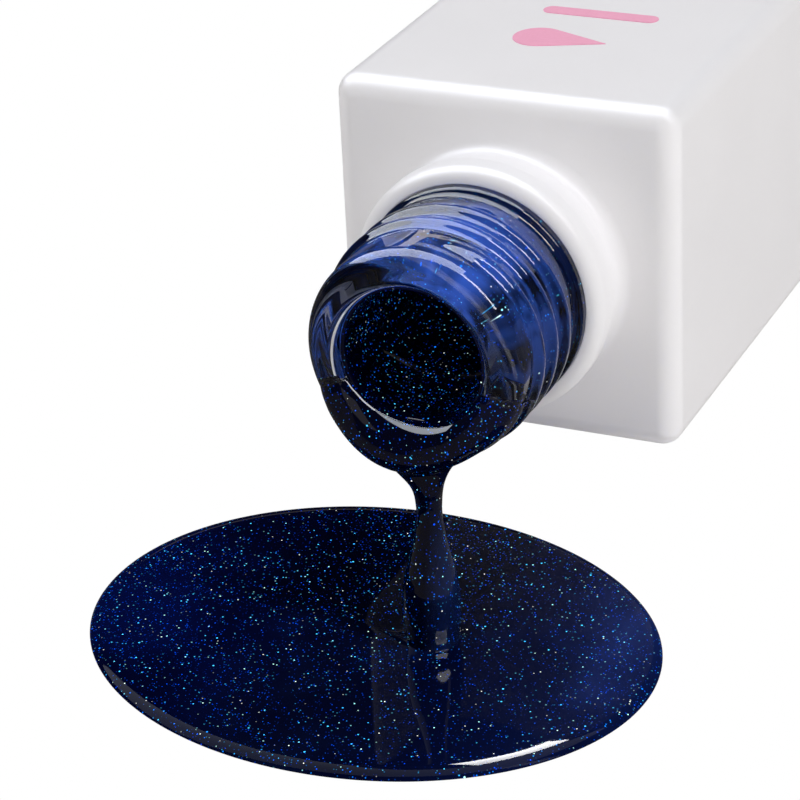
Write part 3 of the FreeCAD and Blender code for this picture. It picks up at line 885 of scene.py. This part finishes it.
screw_cap = refined("inner_cap", "screw_cap", milky_plastic(), "closure")
square_cap = refined("overcap", "square_cap", moulded_white(), "closure")


# ---- Brush --------------------------------------------------------------------
# Black moulded stem, still wet with polish at its lower end, with a flat tuft of nylon
# bristles held in its end by a wire staple.
def stem_plastic():
    material, nodes = material_of("stem_plastic")
    place = object_place(nodes)
    along = nodes.add("ShaderNodeSeparateXYZ", None, {0: place}, "Y")
    wet = nodes.step(along + noise(nodes, place, 900.0, 2.0) * 2 * MM, -0.131, -0.129)
    surface(nodes, {"Base Color": nodes.mix(wet, (0.02, 0.02, 0.022, 1.0), (0.002, 0.004, 0.03, 1.0)),
                    "Roughness": 0.4 - wet * 0.32})
    return material


stem = refined("brush_stem", "stem", stem_plastic(), "closure")
paint_node("tuft_staple", steel)
wet_bristles = glitter_polish("wet_bristles")


def filament_tree(name):
    """Tree that fills the tuft's outline with bent filaments: a round bundle at the stem, a flat fan at the tip."""
    tree = bpy.data.node_groups.new(name, "GeometryNodeTree")
    face = tree.interface
    for label, kind in (("Count", "NodeSocketInt"), ("Root", "NodeSocketFloat"), ("Tip", "NodeSocketFloat"),
                        ("Root Radius", "NodeSocketFloat"), ("Tip Half Width", "NodeSocketFloat"),
                        ("Tip Half Thickness", "NodeSocketFloat"), ("Rounding", "NodeSocketFloat"),
                        ("Thickness", "NodeSocketFloat"), ("Seed", "NodeSocketInt"),
                        ("Material", "NodeSocketMaterial")):
        face.new_socket(label, in_out="INPUT", socket_type=kind)
    face.new_socket("Mesh", in_out="OUTPUT", socket_type="NodeSocketGeometry")
    nodes = Nodes(tree)

    def given(label):
        return nodes.add("NodeGroupInput", output=label)

    def chance(low, high, shift):
        return nodes.add("FunctionNodeRandomValue", {"data_type": "FLOAT"},
                         {2: low, 3: high, "Seed": given("Seed") + shift}, 1)

    line = nodes.add("GeometryNodeCurvePrimitiveLine", None, {"Start": (0.0, 0.0, 0.0), "End": (0.0, 1.0, 0.0)})
    line = nodes.add("GeometryNodeResampleCurve", None, {"Curve": line, "Count": 9})
    points = nodes.add("GeometryNodePoints", None, {"Count": given("Count")})
    crowd = nodes.add("GeometryNodeInstanceOnPoints", None, {"Points": points, "Instance": line})
    spread = nodes.math("SQRT", chance(0.0, 1.0, 0))
    turn = chance(0.0, math.tau, 7)
    for label, value in (("away_x", spread * nodes.math("COSINE", turn)),
                         ("away_z", spread * nodes.math("SINE", turn)),
                         ("reach", chance(0.94, 1.0, 13)), ("bend", chance(-1.0, 1.0, 29))):
        crowd = nodes.add("GeometryNodeStoreNamedAttribute", {"data_type": "FLOAT", "domain": "INSTANCE"},
                          {"Geometry": crowd, "Name": label, "Value": value})
    crowd = nodes.add("GeometryNodeRealizeInstances", None, {"Geometry": crowd})

    def kept(label):
        return nodes.add("GeometryNodeInputNamedAttribute", {"data_type": "FLOAT"}, {"Name": label})

    along = nodes.add("ShaderNodeSeparateXYZ", None, {0: nodes.add("GeometryNodeInputPosition")}, "Y")
    away_x, away_z = kept("away_x"), kept("away_z")
    fan = along * along
    drop = away_x * away_x * given("Rounding")
    length = given("Tip") - given("Root")
    wave = nodes.math("SINE", along * math.pi) * kept("bend") * given("Thickness") * 0.8
    place = nodes.add("ShaderNodeCombineXYZ", None, {
        "X": away_x * (given("Root Radius") + (given("Tip Half Width") - given("Root Radius")) * fan) + wave,
        "Y": given("Root") + along * kept("reach") * (length - drop * length / nodes.math("ABSOLUTE", length)),
        "Z": away_z * (given("Root Radius") + (given("Tip Half Thickness") - given("Root Radius")) * fan)})
    shaped = nodes.add("GeometryNodeSetPosition", None, {"Geometry": crowd, "Position": place})
    section = nodes.add("GeometryNodeCurvePrimitiveCircle", None,
                        {"Resolution": 5, "Radius": given("Thickness")})
    tubes = nodes.add("GeometryNodeCurveToMesh", None,
                      {"Curve": shaped, "Profile Curve": section, "Fill Caps": True})
    real = nodes.add("GeometryNodeRealizeInstances", None, {"Geometry": tubes})
    nodes.add("NodeGroupOutput", None, {"Mesh": nodes.add("GeometryNodeSetMaterial", None, {
        "Geometry": real, "Material": given("Material")})})
    return tree


tuft_low, tuft_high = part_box("bristle_tuft")
filament = 0.055 * MM
bristles = finish_tree_piece("bristles", filament_tree("bristles"), {
    "Count": 260, "Root": tuft_low[1] + 0.1 * MM, "Tip": tuft_high[1] - 0.1 * MM, "Root Radius": 0.95 * MM,
    "Tip Half Width": tuft_high[0] - 2 * filament, "Tip Half Thickness": 0.68 * MM, "Rounding": 1.2 * MM,
    "Thickness": filament, "Seed": 5, "Material": wet_bristles})
closed(bristles, wet_bristles, 1e-7)
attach(bristles, "closure")
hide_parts("bristle_tuft")


# ---- Table and light ----------------------------------------------------------
# Pale plain table in a white studio whose walls are dark in reflections: a strip light on
# the right, an arch of light over the mouth, weaker boxes overhead, left, front and behind.
def after_matt(nodes):
    """1 where the light falls on a matt surface, through glass or not."""
    return nodes.add("ShaderNodeLightPath", output="Diffuse Depth") > 0.5


def by_ray(nodes, seen, lit, mirrored):
    """One of three strengths: for the lens, for matt surfaces, and for reflections and refractions."""
    eye = nodes.add("ShaderNodeLightPath", output="Is Camera Ray")
    matt = after_matt(nodes)
    return eye * seen + matt * lit + (1.0 - eye) * (1.0 - matt) * mirrored


def pale_table():
    material, nodes = material_of("pale_table")
    eye = nodes.add("ShaderNodeLightPath", output="Is Camera Ray")
    matt = nodes.add("ShaderNodeBsdfDiffuse", None, {"Color": (0.80, 0.79, 0.77, 1.0)})
    glow = nodes.add("ShaderNodeEmission", None, {"Color": (1.0, 0.97, 0.94, 1.0),
                                                  "Strength": by_ray(nodes, 0.0, 0.48, 0.0)})
    dark = nodes.add("ShaderNodeBsdfDiffuse", None, {"Color": (0.16, 0.15, 0.14, 1.0)})
    white = nodes.add("ShaderNodeEmission", None, {"Color": (1.0, 1.0, 1.0, 1.0), "Strength": 1.0})
    lit = nodes.add("ShaderNodeAddShader", None, {0: matt, 1: glow})
    other = nodes.add("ShaderNodeMixShader", None, {0: after_matt(nodes), 1: dark, 2: lit})
    nodes.add("ShaderNodeOutputMaterial", None, {"Surface": nodes.add("ShaderNodeMixShader", None,
                                                                      {0: eye, 1: other, 2: white})})
    return material


def table():
    size = 3.0
    z = pool_low[2] - 0.02 * MM
    mesh = bpy.data.meshes.new("table")
    mesh.from_pydata([(-size, -size, z), (size, -size, z), (size, size, z), (-size, size, z)], [], [(0, 1, 2, 3)])
    mesh.materials.append(pale_table())
    new_object("table", mesh)


def direction(azimuth, height):
    """Unit vector: degrees from +Y towards +X, then degrees up."""
    azimuth, height = math.radians(azimuth), math.radians(height)
    return Vector((math.sin(azimuth) * math.cos(height), math.cos(azimuth) * math.cos(height), math.sin(height)))


def softbox(name, start, end, width, radiance, colour=(1.0, 1.0, 1.0), distance=0.6, lights="all"):
    """Area light turned to the mouth of the bottle, that reaches from one direction to another.

    Lights says whether it counts for all, only for matt surfaces, or only for reflections."""
    start, end = [direction(*way) * distance for way in (start, end)]
    back = ((start + end) / 2).normalized()
    upward = (end - start).normalized()
    data = bpy.data.lights.new(name, "AREA")
    data.shape = "RECTANGLE"
    data.size, data.size_y = width, (end - start).length
    data.color = colour
    data.energy = radiance * math.pi * data.size * data.size_y
    light = bpy.data.objects.new(name, data)
    light.visible_diffuse = lights != "gloss"
    light.visible_glossy = lights != "matt"
    place = Matrix((upward.cross(back).normalized(), upward, back)).transposed().to_4x4()
    place.translation = Vector((0.0, lip_y, 0.0)) + (start + end) / 2
    light.matrix_world = place
    scene.collection.objects.link(light)


def studio():
    scene.world = bpy.data.worlds.new("studio")
    scene.world.use_nodes = True
    nodes = Nodes(scene.world.node_tree)
    shade = nodes.add("ShaderNodeBackground", None, {"Color": (1.0, 1.0, 1.0, 1.0),
                                                     "Strength": by_ray(nodes, 1.0, 0.27, 0.03)})
    nodes.add("ShaderNodeOutputWorld", None, {"Surface": shade})


table()
studio()
cool, warm = (0.97, 0.97, 1.0), (1.0, 0.95, 0.89)
softbox("key", (98, 29), (98, 67), 0.10, 13.5, cool)
softbox("overhead", (-100, 60), (80, 86), 0.40, 1.0, cool, lights="matt")
softbox("left", (-95, 0), (-95, 50), 0.35, 1.5, cool, lights="matt")
softbox("front", (165, -8), (165, 32), 0.50, 0.4, warm)
softbox("arch", (-92, 26), (55, 62), 0.44, 7.2, (0.86, 0.91, 1.0), lights="gloss")
softbox("low_back", (-24, 19), (-24, 24), 0.60, 2.0, (1.0, 0.90, 0.80), 1.8, "gloss")


def glint_card():
    """Small level card low over the pool's near edge, that only the wet surface mirrors."""
    data = bpy.data.lights.new("glint", "AREA")
    data.shape = "RECTANGLE"
    data.size, data.size_y = 7.4 * MM, 4.0 * MM
    data.energy = 210.0 * math.pi * data.size * data.size_y
    light = bpy.data.objects.new("glint", data)
    light.visible_camera = light.visible_diffuse = light.visible_transmission = False
    mirrored = Vector((11.5 * MM, lip_y - 12.3 * MM, pool_high[2]))
    light.matrix_world = Matrix.Translation(mirrored + direction(-23, 32.7) * 10 * MM) \
        @ Matrix.Rotation(math.radians(56), 4, "Z")
    scene.collection.objects.link(light)


glint_card()
